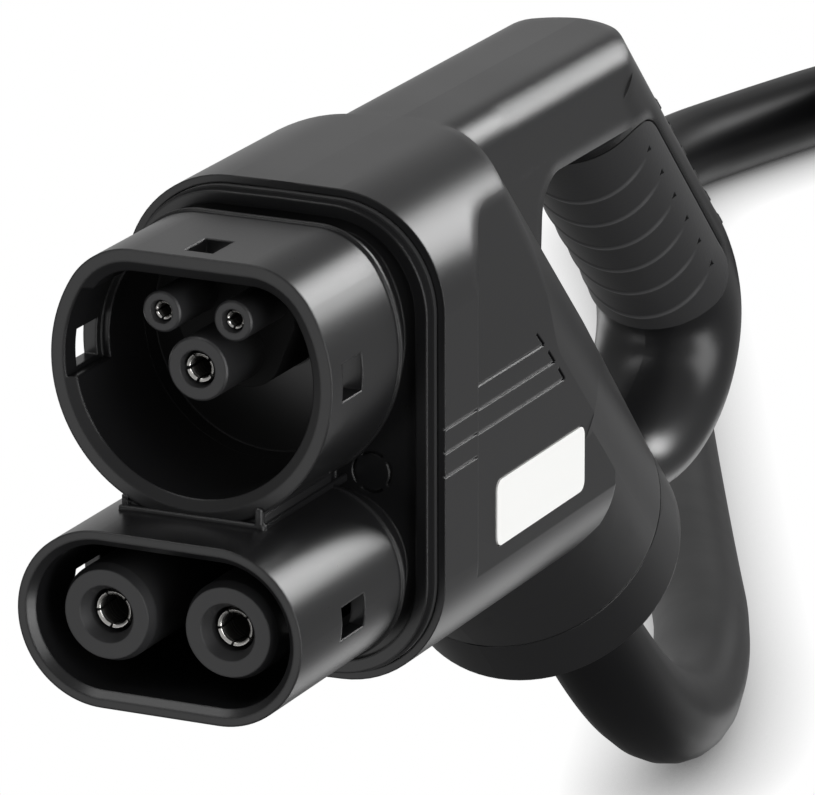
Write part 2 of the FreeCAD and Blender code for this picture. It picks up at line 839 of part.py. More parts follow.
def label_solid(depth, grow):
    """Bare label plate on the right flank."""
    half = label_length / 2 + grow
    rise = label_height / 2 + grow
    foot = hood_half_width - flank_step - label_recess
    corners = [(label_y - half, label_z - rise, label_corner), (label_y + half, label_z - rise, label_corner),
               (label_y + half, label_z + rise, label_corner), (label_y - half, label_z + rise, label_corner)]
    return side_prism(corners, foot, foot + depth)


def make_shells():
    """Right and left half of the housing, parted in the middle plane."""
    shell = housing_outside()
    for hollow in hollows() + channels():
        shell = shell.cut(hollow.cut(screw_bosses()))
    for hole in screw_holes():
        shell = shell.cut(hole)
    right = shell.common(block((0, far), (-far, far), (-far, far)))
    left = shell.common(block((-far, 0), (-far, far), (-far, far)))
    return right, left


def make_gasket():
    """Soft seal between the flange and the lip of the housing."""
    outer = hood_corners(lip_wall + 0.2)
    seal = front_prism(outer, gasket_y, gasket_y + gasket_depth)
    return seal.cut(front_prism(hood_corners(ring_gap), gasket_y - 1, gasket_y + gasket_depth + 1))


def inner_cores():
    """Cores between the contacts and the cable: name, diameter and end places."""
    start_y = socket_rear_y
    half = dc_spacing / 2
    return [
        ("dc_core_positive", dc_core, (half, start_y, lower_centre_z), core_places[0]),
        ("dc_core_negative", dc_core, (-half, start_y, lower_centre_z), core_places[1]),
        ("earth_core", earth_core_size, (0, start_y, 0), core_places[2]),
        ("proximity_core", signal_core, (signal_x, start_y, signal_z), core_places[3]),
        ("pilot_core", signal_core, (-signal_x, start_y, signal_z), core_places[4]),
    ]


def core_route(start, end):
    """Straight out of the contact, across the chamber and down the neck to the cable."""
    x, y, z = start
    across, up = end
    last = slant_point(across, cable_axis_s + up, cable_start_t)
    before = slant_point(across, cable_axis_s + up, cable_start_t - 22)
    return [Vector(x, y, z), Vector(x, y + 16, z), before, last]


def tube(points, diameter, share=0.45):
    """Round tube along straight runs joined by tangent arcs, with its smallest bend radius."""
    radii = []
    edges = []
    here = points[0]
    for i in range(1, len(points) - 1):
        before, corner, after = points[i - 1], points[i], points[i + 1]
        run = min(before.distanceToPoint(corner), corner.distanceToPoint(after))
        turn = math.pi - (before - corner).getAngle(after - corner)
        radius = share * run / math.tan(turn / 2)
        radii.append(radius)
        start, middle, finish = corner_arc(before, corner, after, radius)
        edges.append(Part.LineSegment(here, start).toShape())
        edges.append(Part.Arc(start, middle, finish).toShape())
        here = finish
    edges.append(Part.LineSegment(here, points[-1]).toShape())
    path = Part.Wire(edges)
    heading = (points[1] - points[0]).normalize()
    profile = Part.Wire(Part.makeCircle(diameter / 2, points[0], heading))
    solid = path.makePipeShell([profile], True, False)
    return solid, path.Length, radii


def free_tube(route, title):
    """Length of free cable, with its checks printed, trimmed where it meets the coil."""
    points = [Vector(*p) for p in route]
    solid, length, radii = tube(points, cable_diameter)
    section = math.pi * cable_diameter ** 2 / 4
    print("%s %.0f mm long, volume over section times length %.4f"
          % (title, length, solid.Volume / (section * length)))
    print("bend radii in diameters:", ", ".join("%.1f" % (r / cable_diameter) for r in radii))
    return solid.cut(make_coil())


def end_heading():
    """Place and heading of the cable's open end."""
    before = Vector(*tail_route[-2])
    last = Vector(*tail_route[-1])
    return last, (last - before).normalize()


def open_end():
    """Cores that stand out of the jacket at the open end, and the ferrules on them."""
    last, heading = end_heading()
    side = heading.cross(Vector(0, 0, 1)).normalize()
    rise = side.cross(heading)
    cores = []
    ferrules = []
    sizes = [dc_core, dc_core, earth_core_size, signal_core, signal_core]
    for diameter, (across, up) in zip(sizes, core_places):
        start = last + side * across + rise * up
        cores.append(Part.makeCylinder(diameter / 2, end_core_length, start, heading))
        tip = start + heading * end_core_length
        ferrules.append(Part.makeCylinder(diameter * 0.36, end_ferrule_length, tip, heading))
    return cores, ferrules


def make_coil():
    """Outer shape of the coil that holds the rest of the cable."""
    x, y = coil_centre
    height = coil_turn_rows * cable_diameter
    band = coil_columns * cable_diameter
    low = floor_z
    edge = cable_diameter / 2 - 0.6
    inner = coil_mean_radius - band / 2
    outer = coil_mean_radius + band / 2
    section = outline([(inner, low, edge), (outer, low, edge), (outer, low + height, edge),
                       (inner, low + height, edge)], lambda u, v: Vector(x + u, y, v))
    return Part.Face(section).revolve(Vector(x, y, 0), Vector(0, 0, 1), 360)


def clamp_half(side):
    """Upper or lower half of the cable clamp, square to the slant."""
    half_width = outlet_radius
    t = clamp_start_t
    s = cable_axis_s
    low = s + clamp_gap / 2 if side > 0 else s - clamp_height / 2
    high = s + clamp_height / 2 if side > 0 else s - clamp_gap / 2
    body = block((-half_width, half_width), (t, t + clamp_length), (low, high))
    saddle = Part.makeCylinder(cable_diameter / 2, clamp_length + 2, Vector(0, t - 1, s), Vector(0, 1, 0))
    body = body.cut(saddle)
    for x in clamp_screw_x():
        hole = Part.makeCylinder(clamp_screw_shank / 2, clamp_height, Vector(x, t + clamp_length / 2, s - 15),
                                 Vector(0, 0, 1))
        body = body.cut(hole)
        sink = Part.makeCylinder(clamp_screw_head / 2 + 0.3, 10,
                                 Vector(x, t + clamp_length / 2, s + clamp_height / 2 - 3), Vector(0, 0, 1))
        body = body.cut(sink)
    return slanted(body).common(outlet_taper(shell_wall + fit_gap))


def clamp_screw_x():
    x = clamp_width / 2 - 5.0
    return (-x, x)


def clamp_screws():
    screws = []
    for x in clamp_screw_x():
        screw = make_screw(clamp_screw_shank, clamp_height / 2 + 8, clamp_screw_head,
                           clamp_screw_head_height, clamp_screw_drive)
        screw.rotate(Vector(0, 0, 0), Vector(0, 1, 0), 90)
        screw.translate(Vector(x, clamp_start_t + clamp_length / 2, cable_axis_s + clamp_height / 2 - 3))
        screws.append(slanted(screw))
    return screws


def make_grommet():
    """Soft sleeve that seals the cable in the end wall of the outlet."""
    t = outlet_end_t
    body = slant_rod(cable_diameter / 2 + grommet_wall, cable_axis_s, t - end_wall, t + grommet_lip)
    flange = slant_rod(cable_diameter / 2 + grommet_wall + 3, cable_axis_s, t - end_wall - grommet_flange,
                       t - end_wall)
    run = tube([Vector(*p) for p in cable_route], cable_diameter)[0]
    return joined([body, flange]).cut(run)


def report(name, shape):
    shape.exportStep("parts/" + name + ".step")
    state = "ok" if shape.isValid() else "NOT VALID"
    print("%-26s %s %3d solids %10.1f mm3" % (name, state, len(shape.Solids), shape.Volume))


def main():
    os.makedirs("parts", exist_ok=True)
    right, left = make_shells()
    report("housing_right", right)
    report("housing_left", left)
    report("housing_screws", Part.makeCompound(housing_screws()))
    for name, shape in zip(("upper_shroud", "lower_shroud", "flange_plate"), mating_frame_parts()):
        report(name, shape)
    report("flange_gasket", make_gasket())
    report("signal_contact_carrier", make_signal_carrier())
    report("dc_sleeve_right", make_dc_sleeve(1))
    report("dc_sleeve_left", make_dc_sleeve(-1))
    front = dc_face_y + dc_recess
    for name, side in (("dc_positive_socket", 1), ("dc_negative_socket", -1)):
        x = side * dc_spacing / 2
        report(name, make_socket(dc_bore, dc_tube, x, lower_centre_z, front, socket_rear_y, 6))
    front = small_face_y + small_recess
    report("earth_socket", make_socket(earth_bore, earth_tube, 0, 0, front, socket_rear_y, 4))
    for name, side in (("proximity_socket", 1), ("pilot_socket", -1)):
        report(name, make_socket(signal_bore, signal_tube, side * signal_x, signal_z, front, socket_rear_y, 2))
    for name, size, start, end in inner_cores():
        solid, length, radii = tube(core_route(start, end), size)
        report(name, solid)
    report("cable_clamp_upper", clamp_half(1))
    report("cable_clamp_lower", clamp_half(-1))
    report("clamp_screws", Part.makeCompound(clamp_screws()))
    report("cable_grommet", make_grommet())
    report("grip_pad", make_grip_pad())
    report("label_plate", label_solid(label_thickness, 0))
    report("cable_run", free_tube(cable_route, "cable run"))
    report("cable_coil", make_coil())
    report("cable_tail", free_tube(tail_route, "cable tail"))
    cores, ferrules = open_end()
    report("open_end_cores", Part.makeCompound(cores))
    report("open_end_ferrules", Part.makeCompound(ferrules))


main()
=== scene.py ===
import math

import bmesh
import bpy
from mathutils import Matrix, Vector


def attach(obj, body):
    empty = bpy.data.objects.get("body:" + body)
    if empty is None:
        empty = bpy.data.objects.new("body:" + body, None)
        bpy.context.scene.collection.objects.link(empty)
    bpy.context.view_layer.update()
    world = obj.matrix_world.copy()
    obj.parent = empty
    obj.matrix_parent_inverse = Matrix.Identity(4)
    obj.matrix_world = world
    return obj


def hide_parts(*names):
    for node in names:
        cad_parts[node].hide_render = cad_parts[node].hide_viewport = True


# A DC charging connector with a D-shaped handle and its cable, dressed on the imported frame.
# +X is the right flank that the camera sees, +Y runs from the mating face to the rear, +Z is up.
# Lengths are in metres, and in millimetres where a note says so.

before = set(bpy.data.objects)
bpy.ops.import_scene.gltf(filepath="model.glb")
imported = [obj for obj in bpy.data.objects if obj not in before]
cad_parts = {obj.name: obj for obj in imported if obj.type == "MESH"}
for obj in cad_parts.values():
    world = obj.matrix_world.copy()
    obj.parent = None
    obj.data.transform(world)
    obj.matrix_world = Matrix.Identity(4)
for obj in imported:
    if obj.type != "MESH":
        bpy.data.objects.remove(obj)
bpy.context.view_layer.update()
print("frame loaded with", len(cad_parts), "nodes")

mm = 0.001
firstColour, secondColour, mixedColour = 6, 7, 2  # sockets of a Mix node that mixes colours


def hexColour(code):
    # sRGB hex to the linear colour that the nodes take
    channels = [int(code[i:i + 2], 16) / 255 for i in (0, 2, 4)]
    linear = [c / 12.92 if c <= 0.04045 else ((c + 0.055) / 1.055) ** 2.4 for c in channels]
    return (*linear, 1.0)


def addNode(tree, kind, settings=None, links=None):
    # one node, its settings by name or socket, and the links into its sockets by name or number
    node = tree.nodes.new(kind)
    for key, value in (settings or {}).items():
        if isinstance(key, str) and hasattr(node, key):
            setattr(node, key, value)
        else:
            node.inputs[key].default_value = value
    for key, source in (links or {}).items():
        tree.links.new(source, node.inputs[key])
    return node


def newMaterial(name):
    material = bpy.data.materials.new(name)
    material.use_nodes = True
    material.node_tree.nodes.clear()
    return material, material.node_tree


def deselectAll():
    for item in bpy.context.selected_objects:
        item.select_set(False)


def selectOnly(item):
    deselectAll()
    item.select_set(True)
    bpy.context.view_layer.objects.active = item


def editFaces(item, test):
    # edit mode with only the faces selected whose middle, in mm, passes the test
    selectOnly(item)
    bpy.ops.object.mode_set(mode="EDIT")
    bpy.ops.mesh.select_mode(type="FACE")
    bpy.ops.mesh.select_all(action="DESELECT")
    mesh = bmesh.from_edit_mesh(item.data)
    for face in mesh.faces:
        face.select_set(test(face.calc_center_median() / mm))
    bmesh.update_edit_mesh(item.data)


def applyModifier(item, kind, settings):
    modifier = item.modifiers.new(kind.lower(), kind)
    for key, value in settings.items():
        setattr(modifier, key, value)
    selectOnly(item)
    bpy.ops.object.modifier_apply(modifier=modifier.name)


def placeInMesh(item):
    selectOnly(item)
    bpy.ops.object.transform_apply(location=True, rotation=True, scale=True)


def slantPoint(x, s, t):
    # s is square to the 45 degree slant of the handle and outlet, t runs down it, both in mm
    root = math.sqrt(2)
    return Vector((x, (s + t) / root, (s - t) / root)) * mm


# Camera, at the photograph's angle
cameraSettings = {
    "place": (0.69897, -1.37692, 0.46626),
    "azimuth": 25.32,  # degrees round to the right of the mating face
    "elevation": 16.982,
    "roll": -0.134,
    "lens": 359.5,  # mm, as the sensor
    "sensor": 36.0,
    "reach": 20,
}


def makeCamera(settings):
    data = bpy.data.cameras.new("camera")
    data.lens = settings["lens"]
    data.sensor_width = settings["sensor"]
    data.clip_end = settings["reach"]
    camera = bpy.data.objects.new("camera", data)
    bpy.context.scene.collection.objects.link(camera)
    turn = Matrix.Rotation(math.radians(settings["azimuth"]), 4, "Z")
    tilt = Matrix.Rotation(math.radians(90 - settings["elevation"]), 4, "X")
    roll = Matrix.Rotation(math.radians(settings["roll"]), 4, "Z")
    camera.matrix_world = Matrix.Translation(settings["place"]) @ turn @ tilt @ roll
    bpy.context.scene.camera = camera


makeCamera(cameraSettings)
print("camera placed")


# Cable: out of the outlet, over the floor behind the connector, into its coil
cableSettings = {
    "diameter": 23 * mm,
    "exit": slantPoint(0, 57.6, 181),
    "start": slantPoint(0, 57.6, 155),
    "route": [  # given along the CAD route
        (0, 0.172, -0.09054),
        (0.003, 0.211, -0.135),
        (-0.001, 0.252, -0.153),
        (-0.019, 0.306, -0.153),
        (-0.047, 0.361, -0.153),
        (-0.097, 0.462, -0.153),
        (-0.163, 0.599, -0.153),
        (-0.196, 0.655, -0.153),
        (-0.203, 0.699, -0.153),  # here it turns towards the coil
        (-0.193, 0.742, -0.153),
        (-0.1795, 0.792, -0.153),
    ],
    "tail": [
        (-0.160, 0.850, -0.130),
        (-0.162, 0.903, -0.135),
        (-0.165, 0.957, -0.150),
        (-0.169, 1.010, -0.153),
    ],
    "coilCentre": (-0.023, 0.805),
    "coilMiddle": 0.125,  # radius at the middle of the turns
    "floor": -0.1645,
    "turns": 3,
    "pointsPerTurn": 24,
    "firstAngle": 160,  # degrees, where the run joins the coil
    "firstChange": 120,  # degrees travelled when the cable first moves to the next lane
    "changeEvery": 300,  # and from one change to the next
    "changeLength": 60,  # degrees that a change takes
    "length": 3.3,
    "stepsPerPoint": 14,
    "roundSteps": 8,
}


def coilLane(settings, travelled):
    # radius and height after so many degrees: outer low, inner low, inner high, outer high
    half = settings["diameter"] / 2
    lanes = [(half, half), (-half, half), (-half, 3 * half), (half, 3 * half)]
    radius, height = lanes[0]
    for i, (lane, nextLane) in enumerate(zip(lanes, lanes[1:])):
        begin = settings["firstChange"] + settings["changeEvery"] * i
        share = min(max((travelled - begin) / settings["changeLength"], 0), 1)
        ease = share * share * (3 - 2 * share)
        radius += (nextLane[0] - lane[0]) * ease
        height += (nextLane[1] - lane[1]) * ease
    return settings["coilMiddle"] + radius, settings["floor"] + height


def coilPoints(settings):
    # all turns, clockwise seen from above
    step = 360 / settings["pointsPerTurn"]
    x, y = settings["coilCentre"]
    points = []
    for i in range(settings["turns"] * settings["pointsPerTurn"]):
        angle = math.radians(settings["firstAngle"] - step * i)
        radius, z = coilLane(settings, step * i)
        points.append((x + radius * math.cos(angle), y + radius * math.sin(angle), z))
    return points


def makeCable(settings):
    points = [settings["start"]] + settings["route"] + coilPoints(settings) + settings["tail"]
    curve = bpy.data.curves.new("cable", "CURVE")
    curve.dimensions = "3D"
    spline = curve.splines.new("NURBS")
    spline.points.add(len(points) - 1)
    for point, place in zip(spline.points, points):
        point.co = (*place, 1)
        point.radius = settings["diameter"] / 2
    spline.order_u = 3
    spline.use_endpoint_u = True
    spline.resolution_u = settings["stepsPerPoint"]
    curve.bevel_depth = 1.0  # times the radius of each point, which also sets the box that Blender reports
    curve.bevel_resolution = settings["roundSteps"]
    curve.use_fill_caps = True
    cable = bpy.data.objects.new("cable", curve)
    bpy.context.scene.collection.objects.link(cable)
    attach(cable, "root")
    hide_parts("cable_run", "cable_coil", "cable_tail")
    return cable


cable = makeCable(cableSettings)
print("cable laid")


def noiseScale(size):
    # a noise pattern's scale from the size of its grains in millimetres
    return 1000 / size


def patchyRoughness(tree, place, settings):
    # duller and shinier patches with soft borders
    cloud = addNode(tree, "ShaderNodeTexNoise",
                    {"Scale": noiseScale(settings["patch"]), "Detail": settings["patchDetail"]},
                    {"Vector": place}).outputs["Fac"]
    low, high = settings["rough"]
    return addNode(tree, "ShaderNodeMapRange", {"To Min": low, "To Max": high},
                   {"Value": cloud}).outputs["Result"]


def grainNormal(tree, place, settings, edges=None):
    # the fine grain as a bump, on top of the rounded edges where there are any
    grain = addNode(tree, "ShaderNodeTexNoise",
                    {"Scale": noiseScale(settings["grain"]), "Detail": settings["grainDetail"]},
                    {"Vector": place}).outputs["Fac"]
    links = {"Height": grain}
    if edges:
        links["Normal"] = edges
    bump = addNode(tree, "ShaderNodeBump",
                   {"Strength": settings["grainStrength"], "Distance": settings["grainDepth"]}, links)
    return bump.outputs["Normal"]


# Housing shells: glass-filled polyamide from a spark-eroded mould
housingSettings = {
    "colour": "1B1B1C",
    "ior": 1.5,
    "rough": (0.27, 0.33),
    "patch": 28,  # mm, where hands have rubbed it
    "patchDetail": 4,
    "grain": 0.45,  # mm
    "grainDetail": 3,
    "grainStrength": 0.25,
    "grainDepth": 0.03 * mm,
    "edge": 0.5 * mm,  # on the flank, round its fine lines and the label
    "roundEdge": 4.5 * mm,  # on the shoulders, the bar and the back
    "lipEdge": 1.5 * mm,  # on the lip round the mating frame
    "lipBefore": (38 * mm, 43 * mm),  # this pair and the next are where one edge eases into another
    "roundAbove": (4 * mm, 9 * mm),
    "roundBehind": (48 * mm, 55 * mm),
    "roundBack": (62 * mm, 69 * mm),  # square to the slant
    "partingClear": (1.5 * mm, 4 * mm),  # the closed parting line stays flat
    "edgeSamples": 6,
}


def edgeRadius(tree, place, settings):
    # how far the edges are rounded at each place of the shells
    axes = addNode(tree, "ShaderNodeSeparateXYZ", links={"Vector": place}).outputs
    sideways = addNode(tree, "ShaderNodeMath", {"operation": "ABSOLUTE"}, {0: axes["X"]}).outputs[0]
    rearAndUp = addNode(tree, "ShaderNodeMath", {"operation": "ADD"}, {0: axes["Y"], 1: axes["Z"]}).outputs[0]
    slant = addNode(tree, "ShaderNodeMath", {"operation": "MULTIPLY", 1: math.sqrt(0.5)},
                    {0: rearAndUp}).outputs[0]
    shares = {}
    for name, value in (("roundAbove", axes["Z"]), ("roundBack", slant), ("roundBehind", axes["Y"]),
                        ("partingClear", sideways)):
        low, high = settings[name]
        eased = {"interpolation_type": "SMOOTHSTEP", "From Min": low, "From Max": high}
        shares[name] = addNode(tree, "ShaderNodeMapRange", eased, {"Value": value}).outputs["Result"]
    upper = addNode(tree, "ShaderNodeMath", {"operation": "MAXIMUM"},
                    {0: shares["roundAbove"], 1: shares["roundBack"]}).outputs[0]
    rounded = addNode(tree, "ShaderNodeMath", {"operation": "MULTIPLY"},
                      {0: upper, 1: shares["roundBehind"]}).outputs[0]
    radius = addNode(tree, "ShaderNodeMapRange",
                     {"To Min": settings["edge"], "To Max": settings["roundEdge"]},
                     {"Value": rounded}).outputs["Result"]
    lipStart, lipEnd = settings["lipBefore"]
    lip = addNode(tree, "ShaderNodeMapRange",
                  {"From Min": lipStart, "From Max": lipEnd, "To Min": settings["lipEdge"], "To Max": 0.0},
                  {"Value": axes["Y"]}).outputs["Result"]
    wider = addNode(tree, "ShaderNodeMath", {"operation": "MAXIMUM"}, {0: radius, 1: lip}).outputs[0]
    return addNode(tree, "ShaderNodeMath", {"operation": "MULTIPLY"},
                   {0: wider, 1: shares["partingClear"]}).outputs[0]


def texturedPolyamide(settings):
    # the eroded mould leaves an even fine grain, so highlights are broad and soft
    material, tree = newMaterial("texturedPolyamide")
    place = addNode(tree, "ShaderNodeTexCoord").outputs["Object"]
    rough = patchyRoughness(tree, place, settings)
    edges = addNode(tree, "ShaderNodeBevel", {"samples": settings["edgeSamples"]},
                    {"Radius": edgeRadius(tree, place, settings)}).outputs["Normal"]
    normal = grainNormal(tree, place, settings, edges)
    shader = addNode(tree, "ShaderNodeBsdfPrincipled",
                     {"Base Color": hexColour(settings["colour"]), "IOR": settings["ior"]},
                     {"Roughness": rough, "Normal": normal})
    addNode(tree, "ShaderNodeOutputMaterial", links={"Surface": shader.outputs[0]})
    return material


# Mating frame: unfilled satin polyester, smoother than the housing
frameSettings = {
    "colour": "171718",
    "ior": 1.52,
    "rough": (0.26, 0.32),
    "patch": 0.6,  # mm, as fine as the grain
    "patchDetail": 2,
    "grain": 0.6,  # mm
    "grainDetail": 2,
    "grainStrength": 0.12,
    "grainDepth": 0.02 * mm,
    "edge": 0.7 * mm,
    "edgeSamples": 4,
}


def satinPolyester(settings):
    # a polished mould with a light vapour blast: satin, with sharper highlights than the shells
    material, tree = newMaterial("satinPolyester")
    place = addNode(tree, "ShaderNodeTexCoord").outputs["Object"]
    rough = patchyRoughness(tree, place, settings)
    edges = addNode(tree, "ShaderNodeBevel",
                    {"samples": settings["edgeSamples"], "Radius": settings["edge"]}).outputs["Normal"]
    normal = grainNormal(tree, place, settings, edges)
    shader = addNode(tree, "ShaderNodeBsdfPrincipled",
                     {"Base Color": hexColour(settings["colour"]), "IOR": settings["ior"]},
                     {"Roughness": rough, "Normal": normal})
    addNode(tree, "ShaderNodeOutputMaterial", links={"Surface": shader.outputs[0]})
    return material


# Insulators round the contacts
sleeveSettings = {
    "colour": "2D2D2E",
    "deepShadeColour": "040404",
    "rough": 0.4,
    "deepRough": 0.85,
    "deep": (8 * mm, 18 * mm),  # along Y, where the moulding turns coarse and its colour is painted dark as shade
    "grain": 0.4,  # mm
    "grainDetail": 2,
    "grainStrength": 0.2,
    "grainDepth": 0.02 * mm,
    "edge": 0.45 * mm,
    "edgeSamples": 4,
}


def sleevePolyamide(settings):
    # flame-retardant polyamide, a little greyer and flatter than the frame
    material, tree = newMaterial("sleevePolyamide")
    place = addNode(tree, "ShaderNodeTexCoord").outputs["Object"]
    edges = addNode(tree, "ShaderNodeBevel",
                    {"samples": settings["edgeSamples"], "Radius": settings["edge"]}).outputs["Normal"]
    normal = grainNormal(tree, place, settings, edges)
    depth = addNode(tree, "ShaderNodeSeparateXYZ", links={"Vector": place}).outputs["Y"]
    low, high = settings["deep"]
    share = addNode(tree, "ShaderNodeMapRange",
                    {"interpolation_type": "SMOOTHSTEP", "From Min": low, "From Max": high},
                    {"Value": depth}).outputs["Result"]
    rough = addNode(tree, "ShaderNodeMapRange",
                    {"To Min": settings["rough"], "To Max": settings["deepRough"]},
                    {"Value": share}).outputs["Result"]
    # painted shade: the colour darkens to near black deeper into the shroud
    tone = addNode(tree, "ShaderNodeMix",
                   {"data_type": "RGBA", firstColour: hexColour(settings["colour"]),
                    secondColour: hexColour(settings["deepShadeColour"])}, {"Factor": share})
    shader = addNode(tree, "ShaderNodeBsdfPrincipled",
                     links={"Base Color": tone.outputs[mixedColour], "Roughness": rough, "Normal": normal})
    addNode(tree, "ShaderNodeOutputMaterial", links={"Surface": shader.outputs[0]})
    return material


# Grip pad and seals
rubberSettings = {
    "colour": "29292A",
    "ridgeHighlightColour": "505051",  # painted highlight: the crests are painted lighter, standing in for the light they catch
    "hollowShadeColour": "060606",
    "hollowReach": 0.9 * mm,
    "hollowSamples": 8,
    "rough": (0.5, 0.62),
    "patch": 14,  # mm
    "patchDetail": 3,
    "pebble": 0.8,  # mm
    "pebbleStrength": 0.25,
    "pebbleDepth": 0.05 * mm,
    "sheen": 0.15,
    "sheenRough": 0.4,
}


def softRubber(settings):
    # thermoplastic elastomer: dull, slightly powdery, with a fine pebble
    material, tree = newMaterial("softRubber")
    place = addNode(tree, "ShaderNodeTexCoord").outputs["Object"]
    rough = patchyRoughness(tree, place, settings)
    pebble = addNode(tree, "ShaderNodeTexVoronoi", {"Scale": noiseScale(settings["pebble"])},
                     {"Vector": place}).outputs["Distance"]
    normal = addNode(tree, "ShaderNodeBump",
                     {"Strength": settings["pebbleStrength"], "Distance": settings["pebbleDepth"]},
                     {"Height": pebble}).outputs["Normal"]
    # painted highlight: along the crescent crests the colour is lighter, as if they caught the light
    crest = addNode(tree, "ShaderNodeAttribute", {"attribute_name": "ridge"}).outputs["Fac"]
    highlightedRidge = addNode(tree, "ShaderNodeMix",
                   {"data_type": "RGBA", firstColour: hexColour(settings["colour"]),
                    secondColour: hexColour(settings["ridgeHighlightColour"])}, {"Factor": crest})
    # painted shade: occlusion darkens the colour in the creases, dimples and hollows of the rubber
    openness = addNode(tree, "ShaderNodeAmbientOcclusion",
                       {"samples": settings["hollowSamples"],
                        "Distance": settings["hollowReach"]}).outputs["AO"]
    tone = addNode(tree, "ShaderNodeMix",
                   {"data_type": "RGBA", firstColour: hexColour(settings["hollowShadeColour"])},
                   {"Factor": openness, secondColour: highlightedRidge.outputs[mixedColour]})
    shader = addNode(tree, "ShaderNodeBsdfPrincipled",
                     {"Sheen Weight": settings["sheen"], "Sheen Roughness": settings["sheenRough"]},
                     {"Base Color": tone.outputs[mixedColour], "Roughness": rough, "Normal": normal})
    addNode(tree, "ShaderNodeOutputMaterial", links={"Surface": shader.outputs[0]})
    return material


# Silvered contacts
silverSettings = {
    "colour": "F2F0EC",
    "boreShade": "5A5856",
    "rough": (0.2, 0.32),
    "toolMarks": (60, 2400, 60),  # per metre: rings 0.4 mm apart along the tube
    "markDetail": 2,
    "markStrength": 0.15,
    "markDepth": 0.02 * mm,
    "bright": 0.5 * mm,  # behind the tip, as far as the plate shines
    "dull": 1.6 * mm,  # behind the tip, from where the bore is painted dark as shade
    "metallic": (1.0, 0.25),  # at the tip and down the bore
}


def silveredCopper(settings, name, tip):
    # turned copper alloy with a silver plate: bright at the tips; down the bore it turns less metallic and
    # its colour is painted dark as shade
    material, tree = newMaterial(name)
    place = addNode(tree, "ShaderNodeTexCoord").outputs["Object"]
    along = addNode(tree, "ShaderNodeMapping", {"Scale": settings["toolMarks"]},
                    {"Vector": place}).outputs["Vector"]
    rings = addNode(tree, "ShaderNodeTexNoise", {"Scale": 1.0, "Detail": settings["markDetail"]},
                    {"Vector": along}).outputs["Fac"]
    smooth, coarse = settings["rough"]
    rough = addNode(tree, "ShaderNodeMapRange", {"To Min": smooth, "To Max": coarse},
                    {"Value": rings}).outputs["Result"]
    normal = addNode(tree, "ShaderNodeBump",
                     {"Strength": settings["markStrength"], "Distance": settings["markDepth"]},
                     {"Height": rings}).outputs["Normal"]
    depth = addNode(tree, "ShaderNodeSeparateXYZ", links={"Vector": place}).outputs["Y"]
    # painted shade: behind the tip the colour darkens down the bore, and the metal turns less metallic there
    share = addNode(tree, "ShaderNodeMapRange",
                    {"From Min": tip + settings["bright"], "From Max": tip + settings["dull"]},
                    {"Value": depth}).outputs["Result"]
    plate = addNode(tree, "ShaderNodeMix",
                    {"data_type": "RGBA", firstColour: hexColour(settings["colour"]),
                     secondColour: hexColour(settings["boreShade"])}, {"Factor": share})
    outer, inner = settings["metallic"]
    metal = addNode(tree, "ShaderNodeMapRange", {"To Min": outer, "To Max": inner},
                    {"Value": share}).outputs["Result"]
    shader = addNode(tree, "ShaderNodeBsdfPrincipled",
                     links={"Base Color": plate.outputs[mixedColour], "Metallic": metal, "Roughness": rough,
                            "Normal": normal})
    addNode(tree, "ShaderNodeOutputMaterial", links={"Surface": shader.outputs[0]})
    return material


# Screws and ferrules
zincSettings = {  # bright zinc on steel, slightly clouded
    "colour": "B9BCBE",
    "rough": (0.25, 0.4),
    "patch": 2,  # mm
    "patchDetail": 3,
}
tinSettings = {  # bright tin, softly clouded by crimping
    "colour": "D3D3D2",
    "rough": (0.22, 0.36),
    "patch": 3,  # mm
    "patchDetail": 3,
}


def platedMetal(settings, name):
    # a thin bright plate, duller in patches
    material, tree = newMaterial(name)
    place = addNode(tree, "ShaderNodeTexCoord").outputs["Object"]
    shader = addNode(tree, "ShaderNodeBsdfPrincipled",
                     {"Base Color": hexColour(settings["colour"]), "Metallic": 1.0},
                     {"Roughness": patchyRoughness(tree, place, settings)})
    addNode(tree, "ShaderNodeOutputMaterial", links={"Surface": shader.outputs[0]})
    return material


# Label
filmSettings = {
    "colour": "F6F6F4",
    "rough": 0.45,
    "grain": 0.5,  # mm
    "grainDetail": 2,
    "grainStrength": 0.1,
    "grainDepth": 0.01 * mm,
}


def matteFilm(settings):
    # white polyester label film with a matte top coat
    material, tree = newMaterial("matteFilm")
    place = addNode(tree, "ShaderNodeTexCoord").outputs["Object"]
    shader = addNode(tree, "ShaderNodeBsdfPrincipled",
                     {"Base Color": hexColour(settings["colour"]), "Roughness": settings["rough"]},
                     {"Normal": grainNormal(tree, place, settings)})
    addNode(tree, "ShaderNodeOutputMaterial", links={"Surface": shader.outputs[0]})
    return material


# Cable jacket and cores
jacketSettings = {
    "colour": "111112",
    "rough": (0.34, 0.44),
    "patch": 18,  # mm
    "patchDetail": 3,
    "grain": 0.9,  # mm
    "grainDetail": 3,
    "grainStrength": 0.2,
    "grainDepth": 0.04 * mm,
    "specular": 0.2,
}


def extrudedJacket(settings):
    # halogen-free elastomer, extruded: satin, with the slight unevenness of a thick jacket
    material, tree = newMaterial("extrudedJacket")
    place = addNode(tree, "ShaderNodeTexCoord").outputs["Object"]
    rough = patchyRoughness(tree, place, settings)
    normal = grainNormal(tree, place, settings)
    colour = hexColour(settings["colour"])
    shader = addNode(tree, "ShaderNodeBsdfPrincipled",
                     {"Base Color": colour, "Specular IOR Level": settings["specular"]},
                     {"Roughness": rough, "Normal": normal})
    addNode(tree, "ShaderNodeOutputMaterial", links={"Surface": shader.outputs[0]})
    return material


coreSettings = {
    "rough": (0.3, 0.42),
    "patch": 6,  # mm
    "patchDetail": 3,
}


